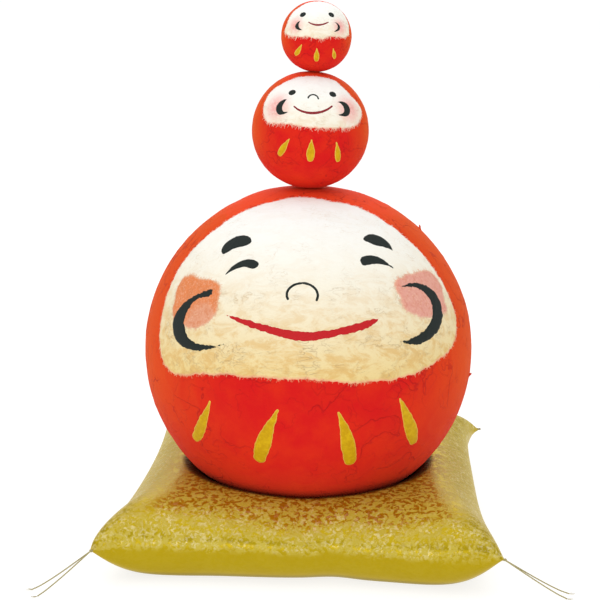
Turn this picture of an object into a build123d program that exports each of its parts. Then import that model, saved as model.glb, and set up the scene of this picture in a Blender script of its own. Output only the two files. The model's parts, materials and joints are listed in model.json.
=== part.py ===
from build123d import *

import os
from math import cos, radians, sin, sqrt

# Three round daruma dolls stacked on a square cushion. Millimetres and degrees. The origin is
# on the table under the large doll's axis, -Y is the way the dolls face and +Z is up.

# Large doll
LARGE_R = 75.0  # outside of its red paper
LARGE_Z = 83.8  # height of its centre
LARGE_FLAT_Z = 20.0  # height of its flat base
LARGE_EDGE_R = 4.0  # rounding of the base's edge
LARGE_SHELL = 2.0  # papier-mache wall
STRIP_WIDTH = 16.0  # paper strip that joins the two halves inside
STRIP_THICK = 0.4
BASE_DISC_R = 34.0
WEIGHT_R = 31.0
WEIGHT_THICK = 11.0
BLOCK_R = 9.0  # wooden block under the crown that holds the peg
BLOCK_LENGTH = 20.0

# Middle and small dolls share one axis that leans to the viewer's right
LEAN = 3.56
MIDDLE_R = 26.1
MIDDLE_X = 0.85
MIDDLE_Z = 184.42
MIDDLE_FLAT = 25.3  # its flat seat, measured from its centre
MIDDLE_TURN = 3.5  # its face is turned a little to the viewer's right
MIDDLE_SHELL = 1.4
POST_R = 5.0  # wooden post inside it
SMALL_R = 15.5
SMALL_RISE = 41.39  # from the middle doll's centre to the small doll's
SMALL_FLAT = 15.2
SMALL_TURN = 4.6

# Paper and paint
RED_PAPER = 0.3
FACE_PAPER = 0.3
CHEEK_PAPER = 0.15
PAINT = 0.12
SMALL_RED_PAPER = 0.2
SMALL_FACE_PAPER = 0.2
TEARDROP = (0.15, 0.5, 0.85, 1.0, 0.75)  # share of a mark's width, from its top to its foot

# Bamboo pegs
PEG_R = 2.0
SMALL_PEG_R = 1.5
PEG_CLEARANCE = 0.05
PEG_DEPTH = 18.0  # in the large doll
PEG_RISE = 16.0  # in the middle doll
SMALL_PEG_DEPTH = 10.0  # in the middle doll
SMALL_PEG_RISE = 18.0  # in the small doll
BORE_END = 0.6  # left free past each peg's end
PEG_CHAMFER = 0.4

# Cushion
CUSHION_HALF = 86.9  # from the axis to a corner's tip, along x and y
CUSHION_PULL = 4.5  # how far each side draws in between the corners
CUSHION_TIP_Z = 15.8
CUSHION_TOP_Z = 32.5
CUSHION_FLOOR_HALF = 66.0
CUSHION_TOP_HALF = 50.0
CUSHION_SWELL = 9.0  # how far the floor and top outlines bow out between the corners
TUCKED_CORNER = (7.0, -4.0)  # the back left corner is drawn in by this
CLOTH = 0.8
SOFT_GAP = 0.4  # kept between the cushion and whatever rests on it
THREAD_R = 0.3
KNOT_R = 1.3
STRAND_OFFSET = 0.6  # the two strands leave the knot this far to either side
STRAND_SAG = 1.5
STITCH_COUNT = 14
STITCH_PITCH = 4.0
STITCH_LENGTH = 3.0
STITCH_R = 0.22
STITCH_SLANT = 55.0

CORNERS = {
    "front_left": (-1, -1),
    "front_right": (1, -1),
    "back_right": (1, 1),
    "back_left": (-1, 1),
}
# Where the two strands of each corner thread end on the table
STRAND_ENDS = {
    "front_left": ((-112.0, -89.0), (-108.0, -95.0)),
    "front_right": ((113.0, -81.0), (111.5, -86.0)),
    "back_right": ((70.0, 111.0), (76.0, 113.0)),
    "back_left": ((-66.0, 108.0), (-72.0, 111.0)),
}

large = Pos(0, 0, LARGE_Z)
tower = Location((MIDDLE_X, 0, MIDDLE_Z), (0, LEAN, 0))
middle = tower * Rot(0, 0, MIDDLE_TURN)
small = tower * Pos(0, 0, SMALL_RISE) * Rot(0, 0, SMALL_TURN)


def save(name, shape):
    """Write one named piece."""
    export_step(shape, os.path.join("parts", name + ".step"))


# ---------------------------------------------------------------- shapes on a ball


def place(lon, lat):
    """Unit vector to a place on a ball: lon right of its front, lat above its middle."""
    return Vector(
        cos(radians(lat)) * sin(radians(lon)),
        -cos(radians(lat)) * cos(radians(lon)),
        sin(radians(lat)),
    )


def facing(lon, lat):
    """Plane through a ball's centre that faces the place (lon, lat)."""
    across = Vector(cos(radians(lon)), sin(radians(lon)), 0)
    return Plane(origin=(0, 0, 0), x_dir=across, z_dir=place(lon, lat))


def flattened(plane, places, radius):
    """The places on a ball as points in the plane."""
    local = [plane.to_local_coords(place(*p) * radius) for p in places]
    return [(v.X, v.Y) for v in local]


def film(plane, edges, inner, outer):
    """Thin layer of a ball, between two radii, inside a closed outline drawn on the plane."""
    outline = make_face(Wire(edges))
    column = extrude(plane * outline, amount=outer + 1, dir=plane.z_dir)
    return column & (Sphere(outer) - Sphere(inner))


def patch(places, aim, inner, outer):
    """Film with a smooth outline through places on the ball."""
    plane = facing(*aim)
    outline = Spline(*flattened(plane, places, outer), periodic=True)
    return film(plane, [outline], inner, outer)


def leaf(places, aim, inner, outer):
    """Film with a smooth outline that comes to a point at its first place."""
    plane = facing(*aim)
    outline = flattened(plane, places, outer)
    return film(plane, [Spline(*outline, outline[0])], inner, outer)


def lips(upper, lower, aim, inner, outer):
    """Film between two smooth lines that meet in a point at both ends."""
    plane = facing(*aim)
    edges = [Spline(*flattened(plane, line, outer)) for line in (upper, lower)]
    return film(plane, edges, inner, outer)


def stroke(places, widths, inner, outer, stations=7):
    """Film of one brush stroke along the places, with widths spread evenly along it."""
    plane = facing(*places[len(places) // 2])
    spine = Spline(*flattened(plane, places, outer))
    left, right = [], []
    for i in range(stations):
        t = i / (stations - 1)
        along = t * (len(widths) - 1)
        low = min(int(along), len(widths) - 2)
        half = (widths[low] + (widths[low + 1] - widths[low]) * (along - low)) / 2
        heading = spine % t
        side = Vector(-heading.Y, heading.X) * half
        left.append(spine @ t + side)
        right.append(spine @ t - side)
    start = spine @ 0 - (spine % 0) * (widths[0] / 2)
    end = spine @ 1 + (spine % 1) * (widths[-1] / 2)
    edges = [
        Spline(*left),
        ThreePointArc(left[-1], end, right[-1]),
        Spline(*reversed(right)),
        ThreePointArc(right[0], start, left[0]),
    ]
    return film(plane, edges, inner, outer)


def dot(lon, lat, width, height, tilt, inner, outer):
    """Film of one oval dab whose long side is turned by the tilt."""
    plane = facing(lon, lat)
    oval = plane * Rot(0, 0, tilt) * Ellipse(width / 2, height / 2)
    return extrude(oval, amount=outer + 1, dir=plane.z_dir) & (Sphere(outer) - Sphere(inner))


def ball_form(radius, flat, inset=0.0, edge=0.0):
    """Ball cut flat below its centre, drawn the given inset inside that skin."""
    reach = radius - inset
    low = flat - inset
    form = Sphere(reach) & Pos(0, 0, reach - low) * Box(3 * reach, 3 * reach, 2 * reach)
    if edge:
        form = fillet(form.edges().group_by(Axis.Z)[0], edge - inset)
    return form


def slab(low, high, reach):
    """Wide flat block between two heights, for cutting."""
    return Pos(0, 0, (low + high) / 2) * Box(reach, reach, high - low)


def bore(radius, low, high):
    """Round cutter along Z between two heights."""
    return Pos(0, 0, (low + high) / 2) * Cylinder(radius, high - low)


# ---------------------------------------------------------------- large doll


def large_form(inset):
    """The large doll's outside, drawn the given inset inside its skin."""
    return ball_form(LARGE_R, LARGE_Z - LARGE_FLAT_Z, inset, LARGE_EDGE_R)


def large_peg_bore():
    """Cutter for the peg, in the large doll's own place."""
    crown = MIDDLE_FLAT
    hole = bore(PEG_R + PEG_CLEARANCE, -crown - PEG_DEPTH - BORE_END, -crown + 5)
    return large.inverse() * tower * hole


def large_body():
    """Shell halves, joining strip, weight, peg block and red paper."""
    hole = large_peg_bore()
    paper_inside = RED_PAPER
    wall_inside = RED_PAPER + LARGE_SHELL
    shell = large_form(paper_inside) - large_form(wall_inside) - hole
    save("large_shell_upper", large * (shell & slab(0, LARGE_R, 3 * LARGE_R)))
    save("large_shell_lower", large * (shell & slab(-LARGE_R, 0, 3 * LARGE_R)))

    cavity_r = LARGE_R - wall_inside
    strip = Sphere(cavity_r) - Sphere(cavity_r - STRIP_THICK)
    strip &= slab(-STRIP_WIDTH / 2, STRIP_WIDTH / 2, 3 * LARGE_R)
    save("large_joint_strip", large * strip)

    floor = LARGE_FLAT_Z - LARGE_Z + wall_inside
    weight = Pos(0, 0, floor + WEIGHT_THICK / 2) * Cylinder(WEIGHT_R, WEIGHT_THICK)
    weight = fillet(weight.edges().group_by(Axis.Z)[-1], WEIGHT_THICK / 3)
    save("large_weight", large * weight)

    block_top = -MIDDLE_FLAT
    block = bore(BLOCK_R, block_top - wall_inside - BLOCK_LENGTH, block_top)
    block = (large.inverse() * tower * block) & Sphere(cavity_r)
    save("large_peg_block", large * (block - hole))

    skin = large_form(0) - large_form(paper_inside) - hole
    base_cut = bore(BASE_DISC_R, LARGE_FLAT_Z - LARGE_Z - 1, LARGE_FLAT_Z - LARGE_Z + RED_PAPER)
    save("large_red_paper", large * (skin - base_cut))
    save("large_base_paper", large * (skin & base_cut))


def large_face():
    """Face paper, cheeks and the painted features."""
    paper = LARGE_R + FACE_PAPER
    cheek = paper + CHEEK_PAPER
    edge = [
        (-60, 14), (-62.6, 25), (-63.6, 40), (-60, 52), (-50, 65.5), (-36, 71), (-20, 75.6),
        (-2, 76.5), (16, 74.6), (33, 71.8), (48.4, 68), (58, 57), (64.2, 42), (67.2, 26),
        (67.2, 18.8), (62.5, 10), (50, 5.4), (37, 3.3), (20, 3), (6, 4.5), (-15, 4.5),
        (-32, 3.6), (-46, 0.6), (-54.5, 3.3),
    ]
    save("large_face_paper", large * patch(edge, (0, 38), LARGE_R, paper))

    left = [
        (-56.2, 29.5), (-52, 33.7), (-44.4, 33.5), (-39, 33.8), (-33, 32.2), (-31.6, 28.5),
        (-32.4, 21.5), (-38.3, 17.7), (-45, 17.3), (-53.3, 20.5), (-54.5, 25),
    ]
    right = [
        (38.4, 33.8), (45, 35.7), (52, 35.6), (62, 33.8), (63.7, 29), (61.5, 23.5),
        (61.2, 20.4), (56, 20.8), (50.4, 20.3), (44, 21.6), (39, 24.6), (37.9, 30),
    ]
    cheeks = {
        "large_cheek_left": patch(left, (-44, 26), paper, cheek),
        "large_cheek_right": patch(right, (51, 28), paper, cheek),
    }
    for name, shape in cheeks.items():
        save(name, large * shape)

    top = paper + PAINT
    brow_left = [
        (-40, 43.8), (-42.3, 46.4), (-39.4, 50.6), (-34, 52.1), (-28.8, 51.3), (-27.2, 49.6),
        (-31, 47.5), (-36, 45.6),
    ]
    brow_right = [
        (45.1, 44.9), (45.6, 48.3), (42.5, 51.6), (38.5, 52.7), (34.5, 52.2), (32.3, 50.8),
        (33.6, 49.6), (37.4, 47.9),
    ]
    brows = [
        patch(brow_left, (-35, 48), paper, top),
        leaf(brow_right, (39, 49), paper, top),
    ]
    eye_left = [
        (-32.8, 36.3), (-30.3, 40.4), (-26.5, 42.6), (-21.5, 42.9), (-18.8, 41.4), (-20.4, 39.9),
        (-24.5, 40.1), (-28.5, 39),
    ]
    eye_right = [
        (40.7, 38.1), (38.3, 41.3), (34.5, 43.8), (29.5, 44.4), (26.2, 43.3), (26.3, 41.2),
        (30.3, 41), (35.5, 40.6),
    ]
    eyes = [leaf(eye_left, (-26, 40), paper, top), leaf(eye_right, (33, 41), paper, top)]
    nose_line = [(-4.7, 30.2), (-4.5, 33.6), (0.4, 35.5), (5, 34), (5.8, 29.9)]
    mouth_upper = [(-27, 23.4), (-19, 22.6), (-9, 21), (1, 19.8), (10, 20.2), (18, 21.7), (28.1, 23)]
    mouth_lower = [
        (28.1, 23), (24.5, 20.7), (17, 19), (9, 17.7), (1, 16.9), (-8, 18.4), (-18, 20.6),
        (-27, 23.4),
    ]
    save("large_eyebrows", large * Compound(children=brows))
    save("large_eyes", large * Compound(children=eyes))
    save("large_nose", large * stroke(nose_line, [0.8, 0.8, 0.8], paper, top))
    save("large_mouth", large * lips(mouth_upper, mouth_lower, (1, 20), paper, top))

    curl_left = [
        (-25.8, 14.2), (-35, 10.8), (-43.6, 10.6), (-49.7, 13.8), (-51.2, 19), (-47.5, 25),
        (-41, 29.3), (-35.4, 30.4), (-35.2, 29), (-39.5, 27.4), (-43.7, 23.5), (-44.6, 19),
        (-42.2, 14.6), (-36.5, 12.8),
    ]
    curl_right = [
        (34.3, 14.6), (40, 12.9), (48.5, 13.7), (55.5, 17.3), (58.7, 23.3), (56.5, 28.9),
        (50, 32.1), (43, 32.7), (39.4, 31.9), (43.9, 31.3), (49.8, 29.2), (52.5, 25),
        (50.5, 19.8), (44.2, 16.1),
    ]
    curls = [
        leaf(curl_left, (-39, 20), paper, cheek + PAINT),
        leaf(curl_right, (47, 22), paper, cheek + PAINT),
    ]
    cut = [curl - cheeks["large_cheek_left"] - cheeks["large_cheek_right"] for curl in curls]
    save("large_beard", large * Compound(children=cut))


def belly_marks(spans, widths, radius):
    """Teardrop marks from a pointed top to a round foot."""
    return Compound(
        children=[
            stroke([top, middle_place, foot], [w * s for s in widths], radius, radius + PAINT)
            for (top, middle_place, foot), w in spans
        ]
    )


# ---------------------------------------------------------------- middle doll


def middle_body():
    """Shell halves, inner post and red paper, along the tower's axis."""
    lower_bore = bore(PEG_R + PEG_CLEARANCE, -MIDDLE_R - 1, -MIDDLE_FLAT + PEG_RISE + BORE_END)
    upper_bore = bore(
        SMALL_PEG_R + PEG_CLEARANCE, MIDDLE_R - SMALL_PEG_DEPTH - BORE_END, MIDDLE_R + 1
    )
    wall_inside = RED_PAPER + MIDDLE_SHELL
    outside = ball_form(MIDDLE_R, MIDDLE_FLAT)
    under_paper = ball_form(MIDDLE_R, MIDDLE_FLAT, RED_PAPER)
    cavity = ball_form(MIDDLE_R, MIDDLE_FLAT, wall_inside)
    shell = under_paper - cavity - lower_bore - upper_bore
    save("middle_shell_upper", tower * (shell & slab(0, MIDDLE_R, 3 * MIDDLE_R)))
    save("middle_shell_lower", tower * (shell & slab(-MIDDLE_R, 0, 3 * MIDDLE_R)))
    post = bore(POST_R, -MIDDLE_R, MIDDLE_R) & cavity
    save("middle_post", tower * (post - lower_bore - upper_bore))
    save("middle_red_paper", tower * (outside - under_paper - lower_bore - upper_bore))


def middle_face():
    """Face paper and the painted features."""
    paper = MIDDLE_R + FACE_PAPER
    top = paper + PAINT
    edge = [
        (-57.5, 16), (-64, 26), (-66, 38), (-58, 51), (-46, 61), (-20, 69), (20, 69), (45, 64),
        (52, 50), (60, 36), (65, 28), (60, 18), (46, 10.5), (24, 9), (0, 8.5), (-30, 10), (-50, 10),
    ]
    save("middle_face_paper", middle * patch(edge, (0, 38), MIDDLE_R, paper))
    eyes = [dot(-28.2, 42, 3.3, 2.9, 20, paper, top), dot(25.4, 42.9, 3.3, 2.9, -20, paper, top)]
    save("middle_eyes", middle * Compound(children=eyes))
    nose_line = [(-6.2, 37.8), (-4.2, 40.5), (-0.5, 41.6), (3.6, 40.5), (5.6, 37.3)]
    save("middle_nose", middle * stroke(nose_line, [0.6, 0.6], paper, top))
    mouth_line = [(-20, 27.4), (-10, 23.3), (0, 22.5), (10, 24.5), (20.8, 30)]
    save("middle_mouth", middle * stroke(mouth_line, [0.7, 1.2, 0.8], paper, top))
    curl_left = [
        (-31.2, 34), (-38.3, 31), (-41, 25.2), (-38.3, 19.8), (-32, 18.2), (-25.8, 21.6),
        (-30.2, 21.4), (-33, 24), (-33.3, 28.6),
    ]
    curl_right = [
        (29, 34.3), (36, 34.9), (42, 31.7), (43.1, 26.3), (40.3, 21.9), (33.3, 20.2),
        (27.1, 21.8), (32.1, 23.1), (34.8, 26), (34.2, 30.9),
    ]
    curls = [leaf(curl_left, (-34, 26), paper, top), leaf(curl_right, (36, 27), paper, top)]
    save("middle_beard", middle * Compound(children=curls))
    spans = [
        (((-21, -3.6), (-26, -11), (-32, -19.5)), 3.1),
        (((0.5, -3), (0.5, -12), (0.6, -21.3)), 3.9),
        (((25, -4.1), (27.5, -12.5), (30.7, -21.8)), 3.0),
    ]
    save("middle_marks", middle * belly_marks(spans, TEARDROP, MIDDLE_R))


# ---------------------------------------------------------------- small doll


def small_body():
    """Solid wooden ball and red paper."""
    hole = bore(SMALL_PEG_R + PEG_CLEARANCE, -SMALL_R - 1, -SMALL_FLAT + SMALL_PEG_RISE + BORE_END)
    core = ball_form(SMALL_R, SMALL_FLAT, SMALL_RED_PAPER)
    outside = ball_form(SMALL_R, SMALL_FLAT)
    save("small_core", small * (core - hole))
    save("small_red_paper", small * (outside - core - hole))


def small_face():
    """Face paper and the painted features."""
    paper = SMALL_R + SMALL_FACE_PAPER
    top = paper + PAINT
    edge = [
        (-66, 8), (-65, 20), (-67, 34), (-63, 50), (-52, 68), (0, 78), (60, 70), (75, 52),
        (73, 35), (67, 18), (60, 6), (42, 3), (18, 3), (3, -1.5), (-12, 1), (-34, -0.5), (-54, 1),
    ]
    save("small_face_paper", small * patch(edge, (0, 38), SMALL_R, paper))
    eyes = [dot(-32.9, 36.9, 2.8, 2.5, 25, paper, top), dot(27.1, 40.2, 2.8, 2.5, -25, paper, top)]
    save("small_eyes", small * Compound(children=eyes))
    mouth_line = [(-17, 24.2), (-9, 21.5), (0, 21), (9, 23), (17, 26.2)]
    save("small_mouth", small * stroke(mouth_line, [0.5, 0.9, 0.5], paper, top))
    curl_left = [
        (-33, 25), (-38.9, 21.9), (-40.9, 16.6), (-36.5, 11.6), (-27.2, 11.4), (-32, 14.4),
        (-34.4, 18.4),
    ]
    curl_right = [
        (29, 26.7), (36.4, 24.5), (39.5, 19.5), (36.2, 13.9), (26.8, 11.8), (31.9, 15.2),
        (34.4, 19.4),
    ]
    curls = [leaf(curl_left, (-35, 18), paper, top), leaf(curl_right, (34, 19), paper, top)]
    save("small_beard", small * Compound(children=curls))
    spans = [
        (((-26.2, -12), (-32, -21), (-40.5, -29)), 2.3),
        (((-0.3, -16), (0.2, -26), (1, -37)), 2.5),
        (((28.1, -15.1), (32, -23), (37.5, -31)), 2.0),
    ]
    save("small_marks", small * belly_marks(spans, TEARDROP, SMALL_R))


# ---------------------------------------------------------------- pegs


def peg(radius, low, high):
    """Bamboo peg along the tower's axis with chamfered ends."""
    rod = bore(radius, low, high)
    return chamfer(rod.edges().filter_by(GeomType.CIRCLE), PEG_CHAMFER)


def pegs():
    """The peg under the middle doll and the one under the small doll."""
    save("middle_peg", tower * peg(PEG_R, -MIDDLE_FLAT - PEG_DEPTH, -MIDDLE_FLAT + PEG_RISE))
    low = MIDDLE_R - SMALL_PEG_DEPTH
    high = SMALL_RISE - SMALL_FLAT + SMALL_PEG_RISE
    save("small_peg", tower * peg(SMALL_PEG_R, low, high))


# ---------------------------------------------------------------- cushion


def cushion_corner(sx, sy, half):
    """A corner of the cushion's outline at the given half size."""
    share = half / CUSHION_HALF
    tucked = (sx, sy) == CORNERS["back_left"]
    dx, dy = TUCKED_CORNER if tucked else (0, 0)
    return (sx * half + dx * share, sy * half + dy * share)


def cushion_side(index, half, bow):
    """Arc of one side of the outline: front, right, back, left. Its middle is at half + bow."""
    ends = [cushion_corner(*corner, half) for corner in CORNERS.values()]
    reach = half + bow
    middles = [(0, -reach), (reach, 0), (0, reach), (-reach, 0)]
    return ThreePointArc(ends[index], middles[index], ends[(index + 1) % 4])


def cushion_outline(half, bow, z):
    """Face inside the four sides at one height."""
    return Pos(0, 0, z) * make_face(Wire([cushion_side(i, half, bow) for i in range(4)]))


def pillow(inset):
    """Crowned square form with drawn-in sides, the given inset inside the cover's skin."""
    sections = [
        cushion_outline(CUSHION_FLOOR_HALF - inset, CUSHION_SWELL, inset),
        cushion_outline(CUSHION_HALF - inset, -CUSHION_PULL, CUSHION_TIP_Z),
        cushion_outline(CUSHION_TOP_HALF - inset, CUSHION_SWELL, CUSHION_TOP_Z - inset),
    ]
    return loft(sections) - large * large_form(-SOFT_GAP - inset)


def cushion():
    """Cover, filling and the stitches along the back edge."""
    filling = pillow(CLOTH)
    save("cushion_cover", pillow(0) - filling)
    save("cushion_filling", filling)
    seam = cushion_side(2, CUSHION_HALF, -CUSHION_PULL)
    stitches = []
    for i in range(STITCH_COUNT):
        along = 0.5 + (i - (STITCH_COUNT - 1) / 2) * STITCH_PITCH / seam.length
        spot = seam @ along + Vector(0, SOFT_GAP + STITCH_R, CUSHION_TIP_Z)
        stitches.append(Pos(spot) * Rot(0, STITCH_SLANT, 0) * Cylinder(STITCH_R, STITCH_LENGTH))
    save("closing_stitches", Compound(children=stitches))


def corner_thread(corner):
    """Knot at a corner's tip and two strands that run down to the table."""
    sx, sy = CORNERS[corner]
    tip_x, tip_y = cushion_corner(sx, sy, CUSHION_HALF)
    out = (SOFT_GAP + KNOT_R) / sqrt(2)
    knot = Vector(tip_x + sx * out, tip_y + sy * out, CUSHION_TIP_Z)
    thread = Pos(knot) * Sphere(KNOT_R)
    first, second = (Vector(*end, THREAD_R) for end in STRAND_ENDS[corner])
    apart = (second - first).normalized() * STRAND_OFFSET
    for end, offset in ((first, -apart), (second, apart)):
        start = knot + offset
        sag = (start + end) * 0.5 + Vector(0, 0, STRAND_SAG)
        strand = Spline(start, sag, end)
        thread += sweep(Plane(origin=strand @ 0, z_dir=strand % 0) * Circle(THREAD_R), path=strand)
    return thread


os.makedirs("parts", exist_ok=True)
cushion()
for corner_name in CORNERS:
    save("corner_thread_" + corner_name, corner_thread(corner_name))
large_body()
large_face()
large_spans = [
    (((-31, -5.5), (-35.5, -14), (-41.5, -21.5)), 5.6),
    (((-7, -5.6), (-11.3, -15), (-14.8, -24.5)), 6.9),
    (((12.5, -6.5), (15.8, -16), (18, -25.5)), 6.6),
    (((33.7, -4), (38.5, -13), (43.4, -21.3)), 6.4),
]
save("large_marks", large * belly_marks(large_spans, TEARDROP, LARGE_R))
middle_body()
middle_face()
small_body()
small_face()
pegs()
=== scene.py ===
import json
import math

import bpy
import numpy as np
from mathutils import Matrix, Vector, noise
from mathutils.geometry import delaunay_2d_cdt

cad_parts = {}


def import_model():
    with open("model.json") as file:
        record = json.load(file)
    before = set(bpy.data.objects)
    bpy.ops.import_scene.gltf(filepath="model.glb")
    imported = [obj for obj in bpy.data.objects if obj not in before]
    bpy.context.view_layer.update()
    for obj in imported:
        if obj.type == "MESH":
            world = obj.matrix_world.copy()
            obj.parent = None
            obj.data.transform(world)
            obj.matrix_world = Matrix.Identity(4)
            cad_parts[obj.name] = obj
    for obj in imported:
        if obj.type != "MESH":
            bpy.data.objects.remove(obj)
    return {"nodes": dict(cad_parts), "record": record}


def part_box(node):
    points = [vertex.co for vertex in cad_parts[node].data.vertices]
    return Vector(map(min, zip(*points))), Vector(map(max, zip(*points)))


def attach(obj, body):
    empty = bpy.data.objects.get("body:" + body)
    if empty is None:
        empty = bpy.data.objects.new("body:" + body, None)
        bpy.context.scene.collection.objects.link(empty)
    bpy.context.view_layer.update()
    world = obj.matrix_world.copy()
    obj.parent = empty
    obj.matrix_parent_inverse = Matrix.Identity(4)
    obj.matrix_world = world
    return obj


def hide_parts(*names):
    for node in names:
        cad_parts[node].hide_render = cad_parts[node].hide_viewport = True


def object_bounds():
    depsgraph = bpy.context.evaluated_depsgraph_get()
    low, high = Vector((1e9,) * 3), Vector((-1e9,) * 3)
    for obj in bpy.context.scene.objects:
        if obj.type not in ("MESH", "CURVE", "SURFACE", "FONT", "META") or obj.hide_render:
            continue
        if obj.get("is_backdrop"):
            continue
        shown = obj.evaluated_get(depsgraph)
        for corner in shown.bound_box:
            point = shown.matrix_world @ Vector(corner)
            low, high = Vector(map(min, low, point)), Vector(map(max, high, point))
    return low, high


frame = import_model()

# Three round daruma dolls stacked on a gold cushion. Lengths are written in millimetres and
# turned into metres where meshes are made.
MM = 0.001
REFERENCE_RADIUS = 75.0  # of the ball that relief, paper and fibre sizes are given for
CAD_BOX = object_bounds()
rng = np.random.default_rng(11)


# ------------------------------------------------------------------ the frame's own sizes


def node_box(name):
    """Lowest and highest corner of a CAD node in millimetres."""
    low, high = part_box(name)
    return np.array(low) / MM, np.array(high) / MM


def joint(name):
    """A joint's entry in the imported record."""
    entries = frame["record"]["behaviour"]["joints"]
    return next(entry for entry in entries if entry["name"] == name)


def unit(v):
    """The vector at length one."""
    v = np.asarray(v, float)
    return v / np.linalg.norm(v)


def smoothstep(x):
    """Smooth rise from 0 to 1 as x goes from 0 to 1."""
    x = np.clip(x, 0, 1)
    return x * x * (3 - 2 * x)


def cad_triangles(name):
    """A CAD node's points in millimetres, with shared corners joined, and its triangles."""
    mesh = frame["nodes"][name].data
    mesh.calc_loop_triangles()
    points = np.array([v.co for v in mesh.vertices]) / MM
    rounded = points.round(3)
    _, first, same = np.unique(rounded, axis=0, return_index=True, return_inverse=True)
    same = same.reshape(-1)
    triangles = np.array([[same[v] for v in t.vertices] for t in mesh.loop_triangles])
    return points[first], triangles


class Ball:
    """A doll's ball: its centre, its own upright axis and the relief of the paper on it."""

    def __init__(self, doll, centre, axis, seed, relief_size):
        low, high = node_box(doll + "_red_paper")
        self.doll = doll
        self.body = doll + "_doll"
        self.radius = (high[0] - low[0]) / 2
        self.centre = np.array(centre, float)
        self.axis = unit(axis)
        self.across = unit(np.cross((0, 1, 0), self.axis))
        self.depth = np.cross(self.axis, self.across)
        skin = cad_triangles(doll + "_red_paper")[0] - self.centre
        self.flat = -(skin @ self.axis).min()
        self.seed = seed
        self.relief_size = relief_size
        self.scale = self.radius / REFERENCE_RADIUS

    def place(self, lon, lat):
        """Direction to a place: lon right of the front, lat above the middle, in degrees."""
        lon, lat = math.radians(lon), math.radians(lat)
        return (
            math.cos(lat) * math.sin(lon) * self.across
            - math.cos(lat) * math.cos(lon) * self.depth
            + math.sin(lat) * self.axis
        )

    def relief(self, directions):
        """Height of the pasted paper over the ball, in millimetres; none by its two seats."""
        out = np.empty(len(directions))
        for i, d in enumerate(directions):
            p = Vector(d * REFERENCE_RADIUS + self.seed)
            slow = noise.noise(p / 34.0)
            lumps = noise.noise(p / 9.0)
            ridge = 1 - 2 * abs(noise.noise(p / 15.0 + Vector((3, 7, 1))))
            out[i] = 0.22 + 0.26 * slow + 0.09 * lumps + 0.14 * max(ridge - 0.8, 0) / 0.2
        up = directions @ self.axis
        from_crown = smoothstep((1 - up - 0.008) / 0.04)
        from_flat = smoothstep((up + self.flat / self.radius - 0.08) / 0.1)
        return self.relief_size * out * from_crown * from_flat

    def points(self, directions, height):
        """Points at a height over the relief, in millimetres."""
        r = self.radius + self.relief(directions) + height
        return self.centre + directions * r[:, None]


def make_balls():
    """The three balls, placed by the joints that turn them and by the large doll's box."""
    low, high = node_box("large_red_paper")
    radius = (high[0] - low[0]) / 2
    large_centre = ((low[0] + high[0]) / 2, (low[1] + high[1]) / 2, high[2] - radius)
    middle = joint("middle_turn")
    small = joint("small_turn")
    return {
        "large": Ball("large", large_centre, (0, 0, 1), 0.0, 1.0),
        "middle": Ball("middle", np.array(middle["pos_m"]) / MM, middle["axis"], 210.0, 0.5),
        "small": Ball("small", np.array(small["pos_m"]) / MM, small["axis"], 470.0, 0.35),
    }


BALLS = make_balls()
TOWER = unit(joint("middle_lift")["axis"])


# ------------------------------------------------------------------ meshes


def add_object(name, data):
    """Put a mesh, a light or a camera into the scene."""
    obj = bpy.data.objects.new(name, data)
    bpy.context.scene.collection.objects.link(obj)
    return obj


def add_mesh(name, points, faces, body, material, replaced, attributes=None):
    """Make a smooth piece from points in millimetres and put it on a body.

    It takes the place of the replaced CAD nodes, which are hidden, and gets the given material."""
    mesh = bpy.data.meshes.new(name)
    mesh.from_pydata((np.asarray(points) * MM).tolist(), [], [[int(v) for v in f] for f in faces])
    mesh.polygons.foreach_set("use_smooth", [True] * len(mesh.polygons))
    for key, values in (attributes or {}).items():
        layer = mesh.attributes.new(key, "FLOAT", "POINT")
        layer.data.foreach_set("value", np.asarray(values, np.float32))
    mesh.update()
    mesh.materials.append(material)
    obj = add_object(name, mesh)
    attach(obj, body)
    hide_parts(*replaced)
    return obj


def merge(parts):
    """Join several (points, faces, attributes) into one."""
    points, faces, attributes = [], [], {}
    base = 0
    for p, f, a in parts:
        points.append(p)
        faces += [[v + base for v in face] for face in f]
        for key, values in a.items():
            attributes.setdefault(key, []).append(values)
        base += len(p)
    return np.vstack(points), faces, {k: np.concatenate(v) for k, v in attributes.items()}


def resample(points, count, closed=False):
    """The same line with count points spread evenly along it."""
    p = np.vstack([points, points[:1]]) if closed else np.asarray(points)
    step = np.r_[0, np.cumsum(np.linalg.norm(np.diff(p, axis=0), axis=1))]
    at = np.linspace(0, step[-1], count, endpoint=not closed)
    return np.column_stack([np.interp(at, step, p[:, k]) for k in range(p.shape[1])])


def curve_through(points, count):
    """Smooth curve (Catmull-Rom) through the points."""
    p = np.asarray(points, float)
    p = np.vstack([2 * p[0] - p[1], p, 2 * p[-1] - p[-2]])
    dense = []
    for a, b, c, d in zip(p, p[1:], p[2:], p[3:]):
        t = np.linspace(0, 1, 24, endpoint=False)[:, None]
        cubic = (2 * a - 5 * b + 4 * c - d) * t**2 + (3 * b - a - 3 * c + d) * t**3
        dense.append(0.5 * (2 * b + (c - a) * t + cubic))
    return resample(np.vstack([*dense, p[-2:-1]]), count)


def length_of(points, closed=False):
    """Length of a line through the points."""
    p = np.vstack([points, points[:1]]) if closed else points
    return np.linalg.norm(np.diff(p, axis=0), axis=1).sum()


# ------------------------------------------------------------------ outlines on a ball


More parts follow.
